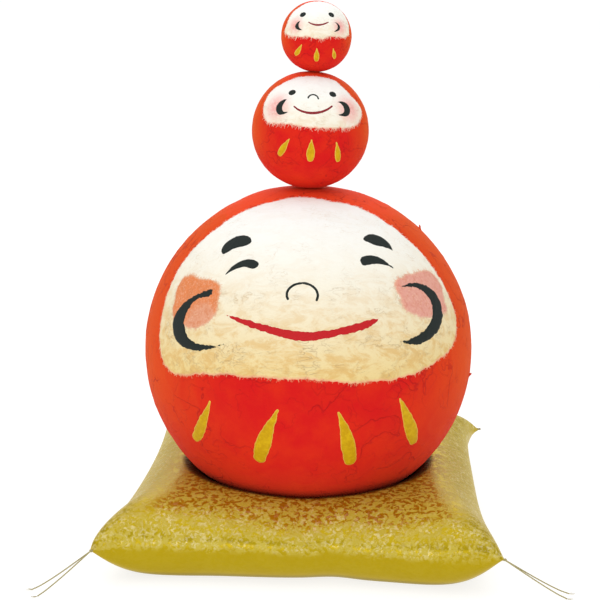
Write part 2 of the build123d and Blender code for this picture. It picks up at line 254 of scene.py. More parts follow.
class Chart:
    """Flat map of a ball around one direction: distances from the middle are true."""

    def __init__(self, ball, direction):
        self.ball = ball
        self.mid = unit(direction)
        self.across = unit(np.cross(ball.axis, self.mid))
        self.up = np.cross(self.mid, self.across)

    def flat(self, directions):
        """Directions as points of the chart, in millimetres."""
        side = np.column_stack([directions @ self.across, directions @ self.up])
        size = np.maximum(np.linalg.norm(side, axis=1), 1e-9)
        away = np.arctan2(size, directions @ self.mid)
        return side * (away / size * self.ball.radius)[:, None]

    def directions(self, points):
        """Points of the chart as directions from the ball's centre."""
        size = np.maximum(np.linalg.norm(points, axis=1), 1e-9)
        angle = size / self.ball.radius
        share = (np.sin(angle) / size)[:, None]
        side = points[:, :1] * share * self.across + points[:, 1:2] * share * self.up
        return np.cos(angle)[:, None] * self.mid + side


def outer_loops(name, ball):
    """Closed outlines, as directions, of the parts of a film's outer face."""
    points, triangles = cad_triangles(name)
    away = np.linalg.norm(points - ball.centre, axis=1)
    outer = away > away.max() - 0.05
    edges = set()
    for a, b, c in triangles[outer[triangles].all(1)]:
        if len({a, b, c}) == 3:
            edges |= {(a, b), (b, c), (c, a)}
    following = {a: b for a, b in edges if (b, a) not in edges}
    loops = []
    while following:
        start, here = following.popitem()
        loop = [start]
        while here != start:
            loop.append(here)
            here = following.pop(here)
        d = points[loop] - ball.centre
        loops.append(d / np.linalg.norm(d, axis=1)[:, None])
    return sorted(loops, key=lambda loop: loop.mean(0) @ ball.across)


def signed_area(outline):
    """Area inside an outline, negative where it runs clockwise."""
    x, y = outline[:, 0], outline[:, 1]
    return 0.5 * (x * np.roll(y, -1) - y * np.roll(x, -1)).sum()


def outline_normals(outline):
    """Unit vectors out of an outline that runs anticlockwise."""
    heading = np.roll(outline, -1, axis=0) - np.roll(outline, 1, axis=0)
    heading /= np.maximum(np.linalg.norm(heading, axis=1), 1e-9)[:, None]
    return np.column_stack([heading[:, 1], -heading[:, 0]])


def torn(outline, step, amounts, seed):
    """The outline with a ragged edge; amounts are pairs of depth and length in millimetres."""
    count = max(24, int(length_of(outline, True) / step))
    even = resample(outline, count, closed=True)
    if signed_area(even) < 0:
        even = even[::-1]
    shift = np.zeros(count)
    for k, (depth, length) in enumerate(amounts):
        shift += [depth * noise.noise(Vector((*(p / length), seed + 9.1 * k))) * 1.6 for p in even]
    return even + outline_normals(even) * shift[:, None]


def distance_to_outline(points, outline):
    """Distance from each point to a closed outline."""
    start = outline
    edge = np.roll(outline, -1, axis=0) - start
    length2 = np.maximum((edge**2).sum(1), 1e-12)
    best = []
    for chunk in np.array_split(points, len(points) // 1500 + 1):
        from_start = chunk[:, None, :] - start[None]
        t = np.clip((from_start * edge[None]).sum(2) / length2, 0, 1)
        best.append(np.linalg.norm(from_start - t[..., None] * edge[None], axis=2).min(1))
    return np.concatenate(best)


def is_inside(points, outline):
    """Which points lie inside a closed outline."""
    x, y = points.T
    hit = np.zeros(len(points), bool)
    for (ax, ay), (bx, by) in zip(outline, np.roll(outline, -1, axis=0)):
        if ay != by:
            crosses = (ay > y) != (by > y)
            hit ^= crosses & (x < (bx - ax) * (y - ay) / (by - ay) + ax)
    return hit


def fill(outline, spacing):
    """Points and triangles that fill an outline, with the outline's own points among them."""
    low, high = outline.min(0), outline.max(0)
    xs, ys = np.meshgrid(
        np.arange(low[0], high[0] + spacing, spacing),
        np.arange(low[1], high[1] + spacing, spacing * 0.87),
    )
    xs[1::2] += spacing / 2
    grid = np.column_stack([xs.ravel(), ys.ravel()])
    grid += rng.uniform(-0.15, 0.15, grid.shape) * spacing
    grid = grid[is_inside(grid, outline)]
    if len(grid):
        grid = grid[distance_to_outline(grid, outline) > 0.4 * spacing]
    points = [Vector(p) for p in np.vstack([outline, grid])]
    made = delaunay_2d_cdt(points, [], [list(range(len(outline)))], 1, 1e-6)
    return np.array([v[:] for v in made[0]]), [list(f) for f in made[2]]


def film(chart, outline, spacing, base, thickness, feather, depth=0.12, lift=None, measure=None):
    """Closed thin layer over the ball's relief: points, faces and the distance to its edge.

    Its top rises from just over the base height to the full thickness over the feather's
    width, and its underside lies the depth below the base. lift and measure are functions
    of the chart's points: height to add, and further values to keep with the points."""
    flat, faces = fill(outline, spacing)
    gap = distance_to_outline(flat, outline)
    rise = np.sqrt(np.clip(1 - (1 - np.clip(gap / feather, 0, 1)) ** 2, 0, 1))
    added = lift(flat) if lift else 0.0
    directions = chart.directions(flat)
    top = chart.ball.points(directions, base + 0.03 + thickness * rise + added)
    under = chart.ball.points(directions, base - depth + added)
    count = len(flat)
    closed = []
    edges = set()
    for f in faces:
        a, b, c = flat[f[0]], flat[f[1]], flat[f[2]]
        if (b[0] - a[0]) * (c[1] - a[1]) < (b[1] - a[1]) * (c[0] - a[0]):
            f = f[::-1]
        closed += [f, [v + count for v in f[::-1]]]
        edges |= set(zip(f, f[1:] + f[:1]))
    closed += [[b, a, a + count, b + count] for a, b in sorted(edges) if (b, a) not in edges]
    values = {"gap": gap} | (measure(flat) if measure else {})
    return np.vstack([top, under]), closed, {key: np.r_[v, v] for key, v in values.items()}


def fibres(chart, outline, count, length, width, base, seed, low_edge=1.0):
    """Loose paper fibres that stick out of a torn edge, longer along the low edge."""
    picker = np.random.default_rng(seed)
    even = resample(outline, count * 4, closed=True)
    if signed_area(even) < 0:
        even = even[::-1]
    normals = outline_normals(even)
    parts = []
    for k in picker.choice(len(even), count, replace=False):
        out = math.atan2(normals[k, 1], normals[k, 0]) + picker.normal(0, 0.55)
        longer = 1 + (low_edge - 1) * max(0.0, -normals[k, 1])
        reach = length * longer * picker.uniform(0.35, 1.3)
        bend = picker.normal(0, 0.5)
        at = np.linspace(0, 1, 5)
        angle = out + bend * at
        steps = np.column_stack([np.cos(angle), np.sin(angle)]) * reach / 4
        spine = even[k] - normals[k] * 0.3 + np.vstack([[0, 0], np.cumsum(steps[1:], axis=0)])
        across = np.column_stack([-np.sin(angle), np.cos(angle)])
        half = width * (1 - 0.75 * at)[:, None] / 2
        sides = np.vstack([spine + across * half, spine - across * half])
        directions = chart.directions(sides)
        top = chart.ball.points(directions, base + 0.10)
        under = chart.ball.points(directions, base - 0.05)
        parts.append((np.vstack([top, under]), RIBBON, {"gap": np.full(20, 0.25)}))
    return merge(parts)


def ribbon_faces(stations):
    """Faces of a closed ribbon: its left and right top points, then the same below."""
    left, right = list(range(stations)), list(range(stations, 2 * stations))
    low_left, low_right = [v + 2 * stations for v in left], [v + 2 * stations for v in right]
    faces = [[left[0], low_left[0], low_right[0], right[0]]]
    faces.append([left[-1], right[-1], low_right[-1], low_left[-1]])
    for i in range(stations - 1):
        faces.append([left[i], right[i], right[i + 1], left[i + 1]])
        faces.append([low_left[i], low_left[i + 1], low_right[i + 1], low_right[i]])
        faces.append([left[i], left[i + 1], low_left[i + 1], low_left[i]])
        faces.append([right[i], low_right[i], low_right[i + 1], right[i + 1]])
    return faces


RIBBON = ribbon_faces(5)


def unit_rows(rows):
    """Each row at length one."""
    return rows / np.maximum(np.linalg.norm(rows, axis=1), 1e-9)[:, None]


def stroke_measure(outline):
    """Function that gives each point its place in a long stroke with this outline."""
    gaps = np.linalg.norm(outline[:, None] - outline[None], axis=2)
    i, j = sorted(np.unravel_index(gaps.argmax(), gaps.shape))
    one = resample(outline[i : j + 1], 60)
    other = resample(np.vstack([outline[j:], outline[: i + 1]]), 60)[::-1]
    spine = (one + other) / 2
    along = np.linspace(0, length_of(spine), 60)
    sideways = unit_rows(one - other)

    def measure(points):
        nearest = np.linalg.norm(points[:, None] - spine[None], axis=2).argmin(1)
        across = ((points - spine[nearest]) * sideways[nearest]).sum(1)
        end = np.minimum(along, along[-1] - along)
        return {"along": along[nearest], "across": across, "end": end[nearest]}

    return measure


# ------------------------------------------------------------------ sizes

RED_PAPER = 0.28  # thickness of the red paper
LARGE_EDGE = 4.0  # rounding of the large doll's flat
PEG_CLEARANCE = 0.1  # between a peg and the paper round it
SIDE_PULL = {"left": 4.5, "right": 7.0, "front": 2.0, "back": 4.5}  # cushion sides drawn in
FRONT_LEAN = 2.0  # how far the cushion's front leans back
POCKET_GAP = 0.8  # between the cushion and the large doll
MOST_SWELL = 1.6  # how far the cushion's filling may push its cover
CLOTH_FRAMES = 20
KNOT_OUT = -0.3  # from a corner tip to the middle of its knot
THREAD_LOW = 0.38  # height of a strand that lies on the table
STITCHES = 14
CAMERA_PLACE = (30.75, -642.3, 256.0)
CAMERA_TILT, CAMERA_TURN = 76.89, 3.08  # degrees from straight down, and to the left
CAMERA_LENS = 86.04
AMBIENT = 0.74  # strength of the white surroundings as light
FLOOR_GLOW = 0.78  # light that the table gives off, so that it stays white
# Folds of the cushion: depth, middle and width; places run from -1 (left, front) to 1
LEFT_BULGE = ((-2.8, -0.92, 0.2),)
FRONT_SWAY = ((3.0, -0.65, 0.4), (-3.0, 0.8, 0.35))
FRONT_FOLD = ((3.5, 0.17, 0.08),)
TOP_CREASES = ((2.0, 0.0, 0.07), (1.0, 0.42, 0.1), (1.0, -0.55, 0.1))
# Loose corners of the large doll's red paper: lon, lat, half width, length, turn, lift
LOOSE_CORNERS = (
    (96.0, 47.0, 1.4, 2.0, -0.9, 1.1),
    (83.0, -7.5, 1.3, 1.6, -1.2, 0.9),
)


# ------------------------------------------------------------------ colours (linear)

RED_DEEP = (0.64, 0.010, 0.010)
RED_BRIGHT = (0.69, 0.022, 0.009)
RED_DARK = (0.57, 0.008, 0.012)
# painted light on the red paper's crown and underside
RED_PAINTED_LIGHT = (0.90, 0.075, 0.020)
# painted shade along the red paper's creases
RED_CREASE_SHADE = (0.36, 0.006, 0.011)
# painted rim light on the red paper
RED_PAINTED_RIM_LIGHT = (0.74, 0.085, 0.009)
PAPER_WHITE = (0.94, 0.955, 0.93)
# cream: painted shade towards the chin on the face paper; the paper's own colour in dry-brush flecks
PAPER_CREAM = (0.80, 0.60, 0.21)
PAPER_TAN = (0.70, 0.42, 0.12)
PAPER_STRAND = (0.60, 0.42, 0.22)
PAPER_THIN = (0.93, 0.40, 0.28)
BLUSH = (0.86, 0.30, 0.28)
CHEEK_ORANGE = (0.74, 0.22, 0.07)
CHEEK_PINK = (0.74, 0.34, 0.27)
CHEEK_ROSE = (0.72, 0.31, 0.18)
CHEEK_CORAL = (0.76, 0.24, 0.15)
CHEEK_FIBRE = (0.88, 0.58, 0.40)
CHEEK_EDGE = (0.90, 0.70, 0.48)
INK = (0.014, 0.020, 0.018)
VERMILION = (0.50, 0.012, 0.016)
DARK_CRIMSON = (0.24, 0.022, 0.028)
GOLD_DEEP = (0.56, 0.32, 0.001)
GOLD_LIGHT = (0.68, 0.43, 0.004)
GOLD_RIM = (0.82, 0.56, 0.10)
SILK_GROUND = (0.44, 0.315, 0.003)
SILK_FIGURE = (0.54, 0.42, 0.05)
SILK_SHADE = (0.41, 0.285, 0.003)
# painted glints on the brocade's crest
SILK_PAINTED_GLINT = (0.80, 0.71, 0.40)
# painted shade on the brocade
SILK_PAINTED_SHADE = (0.060, 0.038, 0.012)
THREAD = (0.44, 0.38, 0.15)
BOARD, BOARD_DARK = (0.42, 0.36, 0.27), (0.28, 0.23, 0.17)
LINING, LINING_DARK = (0.72, 0.66, 0.52), (0.60, 0.53, 0.40)
CLAY, CLAY_DARK = (0.26, 0.14, 0.08), (0.18, 0.09, 0.05)
SOFTWOOD, SOFTWOOD_DARK = (0.56, 0.38, 0.19), (0.40, 0.24, 0.11)
BAMBOO, BAMBOO_DARK = (0.66, 0.50, 0.24), (0.50, 0.35, 0.14)


# ------------------------------------------------------------------ material building blocks


def node(tree, kind, inputs=None, **props):
    """A shader node with its inputs linked or set."""
    made = tree.nodes.new("ShaderNode" + kind)
    for key, value in props.items():
        setattr(made, key, value)
    for key, value in (inputs or {}).items():
        if isinstance(value, Value):
            tree.links.new(value.socket, made.inputs[key])
        else:
            made.inputs[key].default_value = value
    return made


class Value:
    """A value worked out in a node tree; arithmetic with it adds nodes."""

    def __init__(self, tree, kind, output, inputs=None, **props):
        self.tree = tree
        self.socket = node(tree, kind, inputs, **props).outputs[output]

    def calc(self, operation, other=0.0):
        return Value(self.tree, "Math", 0, {0: self, 1: other}, operation=operation)

    def __add__(self, other):
        return self.calc("ADD", other)

    def __sub__(self, other):
        return self.calc("SUBTRACT", other)

    def __mul__(self, other):
        return self.calc("MULTIPLY", other)

    def step(self, low, high, out_low=0.0, out_high=1.0):
        """Smooth step between two levels."""
        levels = {"From Min": low, "From Max": high, "To Min": out_low, "To Max": out_high}
        inputs = {"Value": self, **levels}
        return Value(self.tree, "MapRange", "Result", inputs, interpolation_type="SMOOTHSTEP")


class Look:
    """A material being made: its colour so far, and values that differ over the piece."""

    def __init__(self, name, colour):
        self.material = bpy.data.materials.new(name)
        self.material.use_nodes = True
        self.tree = self.material.node_tree
        self.tree.nodes.clear()
        self.colour = (*colour, 1.0)
        self.where = self.places()

    def value(self, kind, output, inputs=None, **props):
        return Value(self.tree, kind, output, inputs, **props)

    def places(self, stretch=(1, 1, 1)):
        """Place on the piece in millimetres, squeezed along some axes."""
        scale = tuple(s / MM for s in stretch)
        inputs = {0: self.value("TexCoord", "Object"), 1: scale}
        return self.value("VectorMath", 0, inputs, operation="MULTIPLY")

    def height(self):
        """Height above the table in millimetres."""
        return self.value("SeparateXYZ", "Z", {0: self.where})

    def upward(self):
        """1 where the surface faces up, -1 where it faces down."""
        return self.value("SeparateXYZ", "Z", {0: self.value("NewGeometry", "Normal")})

    def kept(self, name):
        """A value that the mesh keeps at its points."""
        return self.value("Attribute", "Fac", attribute_name=name)

    def away(self, place):
        """Distance from a place in millimetres."""
        inputs = {0: self.where, 1: tuple(float(c) for c in place)}
        return self.value("VectorMath", "Value", inputs, operation="DISTANCE")

    def clouds(self, size, detail=3.0, roughness=0.5, distortion=0.0, offset=0.0, where=None):
        """Noise from 0 to 1 with features of about the given size in millimetres."""
        moved = {0: where or self.where, 1: (offset, -offset, offset)}
        inputs = {
            "Vector": self.value("VectorMath", 0, moved, operation="ADD"),
            "Scale": 1.0 / size,
            "Detail": detail,
            "Roughness": roughness,
            "Distortion": distortion,
        }
        return self.value("TexNoise", "Fac", inputs)

    def lines(self, size, width, detail, distortion, offset, where=None):
        """Thin wandering lines, 1 on the line: the middle level of a noise."""
        noise = self.clouds(size, detail, 0.5, distortion, offset, where)
        return (noise - 0.5).calc("ABSOLUTE").step(0.0, width, 1.0, 0.0)

    def tint(self, share, colour):
        """Turn the colour to another one as the share goes to 1."""
        inputs = {0: share, 6: self.colour, 7: (*colour, 1.0)}
        self.colour = self.value("Mix", 2, inputs, data_type="RGBA")

    def finish(self, roughness, height, bump, **extra):
        """Close the material; bump is how high, in millimetres, the height input reaches."""
        raised = {"Height": height, "Distance": bump * MM, "Strength": 1.0}
        inputs = {key.replace("_", " "): value for key, value in extra.items()}
        inputs |= {"Base Color": self.colour, "Roughness": roughness}
        inputs["Normal"] = self.value("Bump", 0, raised)
        node(self.tree, "OutputMaterial", {0: self.value("BsdfPrincipled", 0, inputs)})
        return self.material


# ------------------------------------------------------------------ materials


def red_washi(ball):
    """Wrinkled dyed crimson paper, with painted light: orange towards the outline except where it
    faces up or down, and lighter red on the crown and, most on the large doll, on the underside.

    Its pattern follows the ball's size."""
    look = Look("red_washi_" + ball.doll, RED_DEEP)
    size = 0.35 + 0.65 * ball.scale
    look.tint(look.clouds(16 * size, 4, 0.6).step(0.35, 0.68), RED_BRIGHT)
    upward = look.upward()
    facing = look.value("LayerWeight", "Facing", {"Blend": 0.5})
    # painted light: orange rim light towards the outline, none on the underside and less on the
    # crown
    painted_rim_light = facing.step(0.12, 0.85) * upward.step(-0.75, 0.1)
    look.tint(painted_rim_light * upward.step(0.85, 0.99, 1.0, 0.5), RED_PAINTED_RIM_LIGHT)
    # painted light: lighter red on the crown and, most on the large doll, on the underside
    painted_light_below = upward.step(-0.8, -0.4, 0.6 * ball.scale, 0.0)
    look.tint(upward.step(0.78, 0.95).calc("MAXIMUM", painted_light_below), RED_PAINTED_LIGHT)
    fibre = look.clouds(1.1 * size, 3, 0.7, 0.4, 31)
    look.tint(fibre.step(0.45, 0.75, 0.0, 0.2), RED_DARK)
    patches = look.clouds(22 * size, 2, 0.5, 0.0, 57)
    finer = look.lines(11 * size, 0.014, 3, 0.5, 113)
    crease = look.lines(24 * size, 0.011, 4, 0.3, 77).calc("MAXIMUM", finer * 0.5)
    crease = crease * patches.step(0.38, 0.56)
    # painted shade: darker red along the crease lines, which also carry the crease relief
    look.tint(crease * 0.5, RED_CREASE_SHADE)
    puckers = look.clouds(5 * size, 3, 0.6, 0.5, 13)
    height = fibre * 0.35 + crease * 1.2 + puckers * 0.8
    return look.finish(
        0.75, height, 0.16 * size, Sheen_Weight=0.04, Sheen_Roughness=0.4,
        Sheen_Tint=(1.0, 0.5, 0.3, 1.0), Specular_IOR_Level=0.05,
    )


def white_washi(ball, chin_shade, stains=()):
    """Pale fibrous paper with painted shade, cream towards the chin, tinted by the red under its
    torn edge.

    stains are (direction, reach, share) of soft pink spots."""
    look = Look("white_washi_" + ball.doll, PAPER_WHITE)
    drawn = look.places((0.45, 1, 1))
    size = 0.35 + 0.65 * ball.scale
    chin = ball.centre[2] - 0.15 * ball.radius
    crown = ball.centre[2] + ball.radius
    # painted shade: low rises from the crown to the chin; the paper turns cream towards the chin by
    # it, and the tan mottles and brown strands grow stronger lower down with it
    low = look.height().step(chin, crown, 1.0, 0.0)
    look.tint(low * chin_shade, PAPER_CREAM)
    cloud = look.clouds(5 * size, 6, 0.75, 0.6, where=drawn)
    # tan mottles of the paper, made stronger towards the chin as painted shade
    tan_mottle_and_shade = cloud.step(0.42, 0.62) * low.step(0.1, 1.0, 0.05, 0.75)
    look.tint(tan_mottle_and_shade * chin_shade, PAPER_TAN)
    strand = look.lines(3.2 * size, 0.02, 3, 1.2, 5, drawn)
    strand = strand * look.clouds(9 * size, 2).step(0.45, 0.65) * low.step(0.0, 0.8, 0.25, 0.7)
    look.tint(strand, PAPER_STRAND)
    for direction, reach, share in stains:
        pink = look.away(ball.centre + direction * ball.radius).step(0.0, reach, share, 0.0)
        look.tint(pink * look.clouds(0.9).step(0.25, 0.6, 0.6, 1.0), BLUSH)
    fray = (look.clouds(0.8 * size, 3, 0.7, 0.6, 63) - 0.5) * size + look.kept("gap")
    look.tint(fray.step(0.1 * size, 1.3 * size, 0.6, 0.0), PAPER_THIN)
    pulp = look.clouds(1.6 * size, 4, 0.7, 0.8, 41, drawn)
    height = pulp + strand * 0.6
    return look.finish(0.85, height, 0.26 * size, Sheen_Weight=0.05, Specular_IOR_Level=0.2)


def cheek_washi(name, inner, outer, place, reach):
    """Dyed torn paper: one colour near a place and another away from it."""
    look = Look(name, inner)
    away = (look.clouds(3.0, 4, 0.65, 0.6) - 0.5) * 8.0 + look.away(place)
    look.tint(away.step(reach * 0.5, reach), outer)
    deeper = tuple(c * 0.85 for c in outer)
    look.tint(look.clouds(2.2, 4, 0.6, 0.8, 61).step(0.45, 0.65, 0.0, 0.5), deeper)
    fine = look.clouds(0.9, 3, 0.7, 0.5, 19)
    look.tint(fine.step(0.45, 0.72, 0.0, 0.45), CHEEK_FIBRE)
    look.tint(look.kept("gap").step(0.0, 0.9, 0.5, 0.0), CHEEK_EDGE)
    return look.finish(0.8, fine, 0.08, Specular_IOR_Level=0.3)


def brush_ink(name, colour, dry=0.0):
    """Brushed ink or paint, streaked along the stroke.

    dry is how far, in millimetres, the paper shows in flecks at the stroke's ends."""
    look = Look(name, colour)
    paler = tuple(c * 1.3 + 0.004 for c in colour)
    look.tint(look.clouds(0.6, 3, 0.6, 0.3).step(0.35, 0.75, 0.0, 0.4), paler)
    stroke = {0: look.kept("along") * 0.8, 1: look.kept("across") * 2.5}
    brush = look.value("CombineXYZ", 0, stroke)
    streak = look.clouds(1.0, 2, 0.6, 0.3, 9, brush)
    if dry:
        near_end = look.kept("end").step(0.2 * dry, dry, 0.13, 0.0)
        near_edge = look.kept("gap").step(0.1, 0.9, 0.12, 0.0)
        flecks = (streak + near_end + near_edge).step(0.80, 0.88) * near_end.step(0.0, 0.1)
        look.tint(flecks, PAPER_CREAM)
    return look.finish(0.6, streak, 0.05, Specular_IOR_Level=0.15)


def gold_paint():
    """Matte ochre gold, mottled, with a paler line along its edge."""
    look = Look("gold_paint", GOLD_DEEP)
    cloud = look.clouds(2.2, 4, 0.65, 0.4)
    look.tint(cloud.step(0.35, 0.7), GOLD_LIGHT)
    look.tint(look.kept("gap").step(0.05, 0.55, 0.75, 0.0), GOLD_RIM)
    return look.finish(0.6, cloud, 0.08, Metallic=0.2, Specular_IOR_Level=0.15)


def brocade():
    """Gold figured silk: a smooth reflecting ground with a duller figure in small dabs.

    The figure's colour and painted glints show only where the silk faces up, as painted light from
    above, and painted shade darkens it where something is close to it."""
    look = Look("gold_brocade", SILK_GROUND)
    upward = look.upward()
    drift = look.clouds(9.0, 3, 0.6, 0.6, 3) - 0.5
    # painted light: level rises where the silk faces up and higher on the cushion, and the figure's
    # colour fades out below it, as the figure shows where the crest catches light; the figure itself
    # is the silk's pattern
    level = upward * 0.5 + look.height().step(11.5, 18.5, -0.4, 0.5) + drift * 1.3
    shown = level.step(-0.05, 0.55, 0.1, 1.0)
    figure = look.clouds(2.3, 2, 0.5, 0.7).step(0.42, 0.55) * shown
    look.tint(figure, SILK_FIGURE)
    look.tint(look.clouds(14.0, 3, 0.55, 0.5, 15).step(0.35, 0.7, 0.0, 0.3), SILK_SHADE)
    fine = look.clouds(1.3, 2, 0.5, 0.5, 44)
    patches = look.clouds(7.0, 2, 0.5, 0.0, 71).step(0.35, 0.6, 0.25, 1.0)
    # painted glints: light yellow highlights in patches where the silk faces up
    painted_glints = fine.step(0.46, 0.66) * patches * level.step(0.2, 0.8)
    look.tint(painted_glints * upward.step(0.88, 1.0, 1.0, 0.2) * 0.5, SILK_PAINTED_GLINT)
    # painted shade: dark where something is close to the silk, such as under the large doll
    open_side = look.value("AmbientOcclusion", "AO", {"Distance": 6 * MM}, samples=16)
    painted_contact_shade = open_side.step(0.34, 0.72, 1.0, 0.0) * upward.step(-0.2, 0.3, 0.4, 1.0)
    look.tint(painted_contact_shade, SILK_PAINTED_SHADE)
    return look.finish(
        figure.step(0.0, 1.0, 0.3, 0.5), figure * 0.7 + fine * shown * 0.35, 0.08,
        Metallic=figure.step(0.0, 1.0, 0.66, 0.1), Specular_IOR_Level=0.1,
        Specular_Tint=(1.0, 0.9, 0.5, 1.0), Coat_Weight=painted_contact_shade.step(0.0, 0.5, 0.12, 0.0),
        Coat_Roughness=0.25,
    )


def thread_silk(name, colour):
    """Twisted thread with uneven dye."""
    look = Look(name, colour)
    fine = look.clouds(0.35, 2, 0.6)
    look.tint(fine.step(0.3, 0.7, 0.0, 0.5), tuple(c * 0.6 for c in colour))
    return look.finish(0.55, fine, 0.05, Sheen_Weight=0.3)


def wood(name, light, dark, size, roughness):
    """Upright grain in wood or bamboo."""
    look = Look(name, light)
    rings = look.clouds(size, 5, 0.6, 0.8, where=look.places((1, 1, 0.08)))
    look.tint(rings.step(0.3, 0.7), dark)
    return look.finish(roughness, rings, 0.06)


def speckled(name, light, dark, size, roughness, bump):
    """Dull granular or pulpy material."""
    look = Look(name, light)
    spots = look.clouds(size, 6, 0.7, 0.3)
    look.tint(spots.step(0.35, 0.7), dark)
    look.tint(look.clouds(size * 7, 2, 0.5, 0.0, 21).step(0.4, 0.7, 0.0, 0.3), dark)
    return look.finish(roughness, spots, bump)


# ------------------------------------------------------------------ red paper skins


def revolve(profile, columns, place):
    """Closed mesh of a profile turned about an axis; place turns (out, up, angles) into points.

    A profile point with nothing out becomes a single point on the axis."""
    angles = np.arange(columns) * 2 * math.pi / columns
    points, rows, base = [], [], 0
    for out, up in profile:
        around = angles if out > 1e-6 else angles[:1]
        points.append(place(out, up, around))
        rows.append(base + (np.arange(columns) if out > 1e-6 else np.zeros(columns, int)))
        base += len(around)
    pairs = list(zip(rows, rows[1:]))
    if profile[0][0] > 1e-6:
        pairs.append((rows[-1], rows[0]))
    faces = []
    for one, other in pairs:
        for i in range(columns):
            j = (i + 1) % columns
            corners = [one[i], other[i], other[j], one[j]]
            faces.append([v for k, v in enumerate(corners) if v != corners[k - 1]])
    return np.vstack(points), faces


def arc(radius, start, end, count, centre=(0, 0)):
    """Points (out, up) of an arc; angles run from straight up, in radians."""
    t = np.linspace(start, end, count)
    return [(centre[0] + radius * math.sin(a), centre[1] + radius * math.cos(a)) for a in t]


def skin_profile(ball, rows, top_hole, low_hole, edge):
    """Outline (out, up) of the red paper: down the outside, in along the flat, up the inside."""
    reach, flat = ball.radius, ball.flat
    start = math.asin(top_hole / reach)
    rim_out = math.sqrt((reach - edge) ** 2 - (flat - edge) ** 2)
    turn = math.pi - math.atan2(rim_out, flat - edge)
    outside = arc(reach, start, turn, rows)
    if edge:
        outside += arc(edge, turn, math.pi, 7, (rim_out, edge - flat))[1:]
    seat = [(out, -flat) for out in np.linspace(rim_out, low_hole, 8)[1:]]
    inner_turn = math.pi - math.acos((flat - RED_PAPER) / (reach - RED_PAPER))
    inside = arc(reach - RED_PAPER, inner_turn, start, rows // 4)
    return outside + seat + [(low_hole, RED_PAPER - flat)] + inside


def red_skin(ball, columns, rows, top_hole, low_hole, edge=0.0, bore_offset=0.0):
    """Red paper over a ball that is cut flat below, with the holes for its pegs.

    bore_offset moves the top hole to the side, for a peg that leans."""

    def place(out, up, around):
        radial = np.cos(around)[:, None] * ball.across + np.sin(around)[:, None] * ball.depth
        near_crown = smoothstep((up / ball.radius - 0.9) / 0.08)
        points = out * radial + up * ball.axis + bore_offset * near_crown * ball.across
        size = np.linalg.norm(points, axis=1)
        directions = points / size[:, None]
        is_outside = size > ball.radius - RED_PAPER / 2
        height = np.where(is_outside, ball.relief(directions), 0.0)
        return ball.centre + directions * (size + height)[:, None]

    return revolve(skin_profile(ball, rows, top_hole, low_hole, edge), columns, place)


def peg_hole(peg):
    """Radius of the hole a peg sits in."""
    low, high = node_box(peg)
    return (high[1] - low[1]) / 2 + PEG_CLEARANCE


def tab(ball, lon, lat, width, length, angle, lift):
    """Loose corner of red paper that has come up from the ball."""
    chart = Chart(ball, ball.place(lon, lat))
    turn = np.array([[math.cos(angle), math.sin(angle)], [-math.sin(angle), math.cos(angle)]])
    corners = np.array([(-width, 0), (width, 0), (0.5 * width, length), (-0.3 * width, length)])
    outline = torn(corners @ turn, 0.3, ((0.15, 0.8),), lon)

    def rise(flat):
        return lift * np.clip((flat @ turn.T)[:, 1] / length, 0, 1) ** 1.5

    return film(chart, outline, 0.5, 0.0, 0.15, 0.3, lift=rise)


def add_skin(ball, points, faces):
    """Make a ball's red paper of a mesh."""
    name = ball.doll + "_red_skin"
    add_mesh(name, points, faces, ball.body, red_washi(ball), [ball.doll + "_red_paper"])


def large_skin():
    """Red paper with a leaning peg hole, a rounded flat and its loose corners."""
    ball = BALLS["large"]
    seat = BALLS["middle"].centre - BALLS["middle"].flat * TOWER
    offset = (seat - ball.centre) @ ball.across
    disc = node_box("large_base_paper")[1][0]
    grid = red_skin(ball, 360, 150, peg_hole("middle_peg"), disc, LARGE_EDGE, offset)
    loose = [tab(ball, *placing) for placing in LOOSE_CORNERS]
    points, faces, _ = merge([(*grid, {}), *((p, f, {}) for p, f, _ in loose)])
    add_skin(ball, points, faces)


def middle_skin():
    """Red paper with a peg hole above and one below."""
    ball = BALLS["middle"]
    add_skin(ball, *red_skin(ball, 200, 90, peg_hole("small_peg"), peg_hole("middle_peg")))


def small_skin():
    """Red paper with one peg hole, below."""
    ball = BALLS["small"]
    add_skin(ball, *red_skin(ball, 160, 70, 0.0, peg_hole("small_peg")))


# ------------------------------------------------------------------ faces


def film_height(name, ball):
    """How far a film's outer face stands out from the ball."""
    points = cad_triangles(name)[0]
    return np.linalg.norm(points - ball.centre, axis=1).max() - ball.radius


def torn_patch(node_name, ball, base, spacing, raggedness, loose):
    """Torn paper over the ball, in the outline of its CAD node, with fibres along its edge.

    raggedness is for torn(); loose is (count, length, width, low edge's share) of fibres."""
    (loop,) = outer_loops(node_name, ball)
    chart = Chart(ball, loop.mean(0))
    outline = torn(chart.flat(loop), spacing / 3, raggedness, ball.seed)
    thickness = film_height(node_name, ball) - base
    sheet = film(chart, outline, spacing, base, thickness, 2 * thickness)
    count, length, width, low_edge = loose
    hair = fibres(chart, outline, count, length, width, base, int(ball.seed) + 5, low_edge)
    return merge([sheet, hair])


def face_sheet(doll, chin_shade, spacing, raggedness, loose, stains=()):
    """The torn white paper of a doll's face."""
    ball = BALLS[doll]
    node_name = doll + "_face_paper"
    points, faces, values = torn_patch(node_name, ball, 0.0, spacing, raggedness, loose)
    paper = white_washi(ball, chin_shade, stains)
    add_mesh(doll + "_face_sheet", points, faces, ball.body, paper, [node_name], values)


